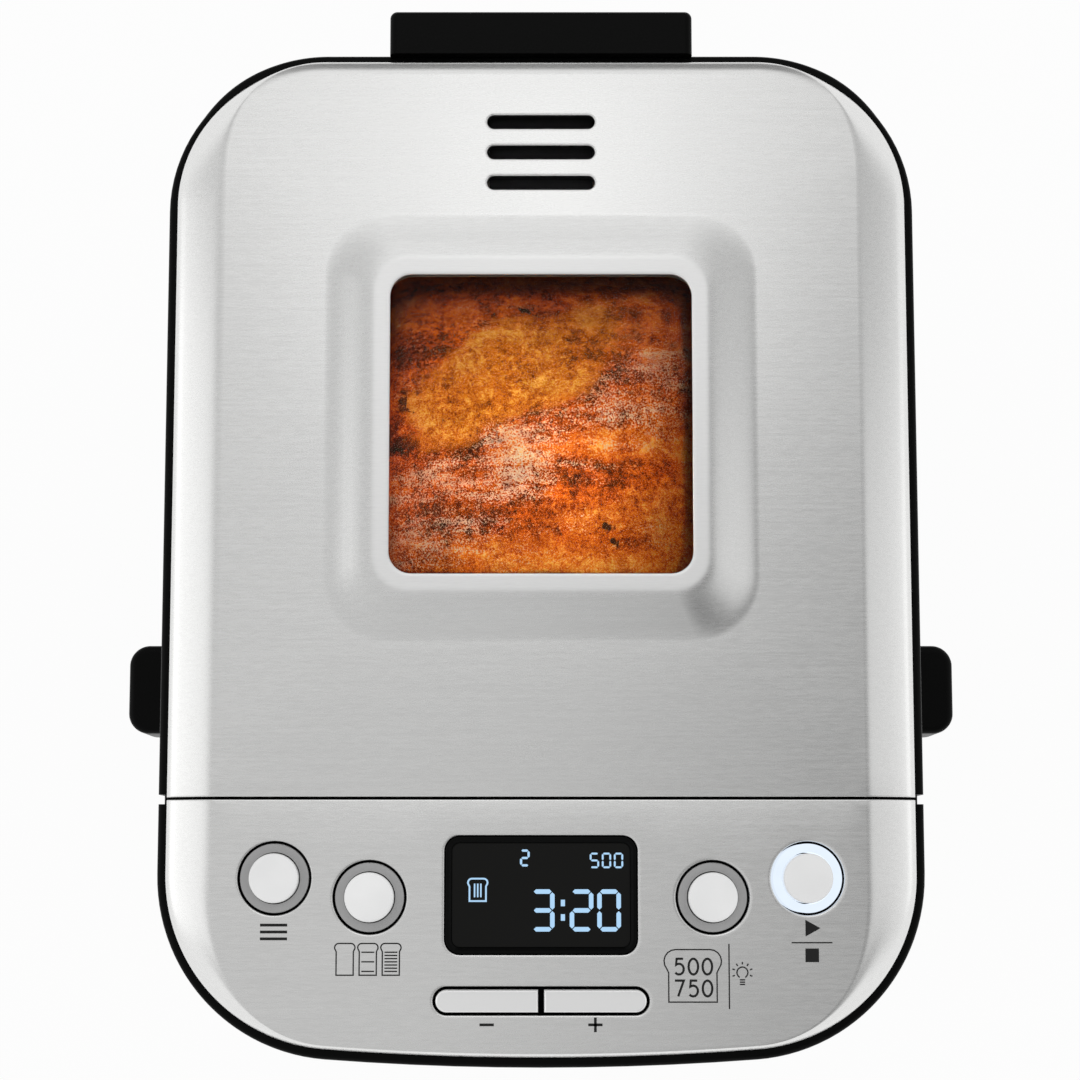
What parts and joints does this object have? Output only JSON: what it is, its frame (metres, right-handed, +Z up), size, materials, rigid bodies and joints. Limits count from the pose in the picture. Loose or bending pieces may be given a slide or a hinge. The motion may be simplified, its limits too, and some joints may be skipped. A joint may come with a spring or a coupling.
{
  "type": "bread machine",
  "caption": "Compact upright bread machine with brushed steel lid, viewing window, vent slots, front button panel with display, black rim, side grips and a rear hinge.",
  "frame": {"origin": "middle of the box, on the surface that the feet stand on", "axes": "+Z up, -Y to the front (control panel), +X to the right seen from the front"},
  "size_m": [0.2442, 0.2916, 0.2985],
  "materials": {
    "brushed_steel": "brushed along X, satin",
    "rim_black": "black moulded plastic, fine satin",
    "inner_black": "black moulded plastic",
    "foot_rubber": "black rubber",
    "seal_silicone": "grey silicone",
    "window_glass": "clear toughened glass",
    "display_glass": "black tinted display lens",
    "button_white": "silver-white button cap",
    "ring_grey": "translucent grey light ring, unlit",
    "ring_lit": "translucent light ring, lit pale blue",
    "key_steel": "satin steel key",
    "chamber_steel": "plain sheet steel",
    "plated_steel": "zinc plated steel",
    "pan_coating": "dark non-stick coating on sheet aluminium",
    "bail_steel": "bright steel wire",
    "heater_sheath": "dark oxidised heater sheath",
    "bush_bronze": "sintered bronze",
    "pulley_plastic": "natural nylon",
    "belt_rubber": "reinforced belt rubber",
    "motor_paint": "dark painted steel can",
    "bread_crust": "baked crust, dusted with flour",
    "board_green": "glass fibre board with parts"
  },
  "bodies": {
    "machine": {"feet": "foot_rubber", "base_tray": "rim_black", "cord_gland": "inner_black", "base_screws": "plated_steel", "body_sleeve": "brushed_steel", "top_deck": "rim_black", "right_grip": "rim_black", "left_grip": "rim_black", "grip_screws": "plated_steel", "hinge_bracket": "inner_black", "hinge_pin": "plated_steel", "panel_frame": "rim_black", "panel_skin": "brushed_steel", "button_rings": "ring_grey", "start_ring": "ring_lit", "display_bezel": "rim_black", "display_lens": "display_glass", "display_module": "inner_black", "control_board": "board_green", "key_switches": "inner_black", "chassis_plate": "plated_steel", "baking_chamber": "chamber_steel", "heat_shield": "plated_steel", "heater_element": "heater_sheath", "heater_clips": "plated_steel", "temperature_probe": "plated_steel", "chamber_lamp": "window_glass", "pan_seat": "plated_steel", "power_board": "board_green", "shaft_bush": "bush_bronze", "drive_belt": "belt_rubber", "motor": "motor_paint"},
    "lid": {"lid_skin": "brushed_steel", "lid_frame": "rim_black", "lid_liner": "chamber_steel", "lid_seal": "seal_silicone", "inner_glass": "window_glass", "window_spacer": "seal_silicone", "window_glass": "window_glass", "vent_insert": "inner_black", "hinge_block": "rim_black", "hinge_screws": "plated_steel"},
    "program_button": {"program_button": "button_white"},
    "crust_button": {"crust_button": "button_white"},
    "size_button": {"size_button": "button_white"},
    "start_button": {"start_button": "button_white"},
    "minus_key": {"minus_key": "key_steel"},
    "plus_key": {"plus_key": "key_steel"},
    "drive": {"drive_shaft": "plated_steel", "drive_coupling": "plated_steel", "drive_pulley": "pulley_plastic"},
    "rotor": {"motor_shaft": "plated_steel", "motor_pulley": "pulley_plastic"},
    "pan": {"bread_pan": "pan_coating", "pan_ears": "bail_steel", "pan_bush": "bush_bronze", "loaf": "bread_crust"},
    "bail": {"bail_handle": "bail_steel"},
    "paddle": {"pan_shaft": "plated_steel", "kneading_paddle": "pan_coating"}
  },
  "joints": [
    {"name": "lid_hinge", "type": "hinge", "parent": "machine", "child": "lid", "pos_m": [0, 0.13955, 0.258], "axis": [-1, 0, 0], "range_deg": [0, 95]},
    {"name": "program_button_press", "type": "slide", "parent": "machine", "child": "program_button", "axis": [0, 0, -1], "range_m": [0, 0.0012], "stiffness_N_per_m": 1500},
    {"name": "crust_button_press", "type": "slide", "parent": "machine", "child": "crust_button", "axis": [0, 0, -1], "range_m": [0, 0.0012], "stiffness_N_per_m": 1500},
    {"name": "size_button_press", "type": "slide", "parent": "machine", "child": "size_button", "axis": [0, 0, -1], "range_m": [0, 0.0012], "stiffness_N_per_m": 1500},
    {"name": "start_button_press", "type": "slide", "parent": "machine", "child": "start_button", "axis": [0, 0, -1], "range_m": [0, 0.0012], "stiffness_N_per_m": 1500},
    {"name": "minus_key_press", "type": "slide", "parent": "machine", "child": "minus_key", "axis": [0, 0, -1], "range_m": [0, 0.0012], "stiffness_N_per_m": 1500},
    {"name": "plus_key_press", "type": "slide", "parent": "machine", "child": "plus_key", "axis": [0, 0, -1], "range_m": [0, 0.0012], "stiffness_N_per_m": 1500},
    {"name": "drive_spin", "type": "hinge", "parent": "machine", "child": "drive", "pos_m": [0, 0.0267, 0.05], "axis": [0, 0, 1], "continuous": true},
    {"name": "motor_spin", "type": "hinge", "parent": "machine", "child": "rotor", "pos_m": [0.04, -0.1009, 0.05], "axis": [0, 0, 1], "continuous": true},
    {"name": "pan_lift", "type": "slide", "parent": "machine", "child": "pan", "axis": [0, 0, 1], "range_m": [0, 0.012]},
    {"name": "bail_swing", "type": "hinge", "parent": "pan", "child": "bail", "pos_m": [0, 0.0267, 0.192], "axis": [1, 0, 0], "range_deg": [0, 180]},
    {"name": "paddle_spin", "type": "hinge", "parent": "pan", "child": "paddle", "pos_m": [0, 0.0267, 0.1], "axis": [0, 0, 1], "continuous": true}
  ],
  "couplings": [
    {"joint": "motor_spin", "follows": "drive_spin", "ratio": 4.5},
    {"joint": "paddle_spin", "follows": "drive_spin", "ratio": 1}
  ]
}
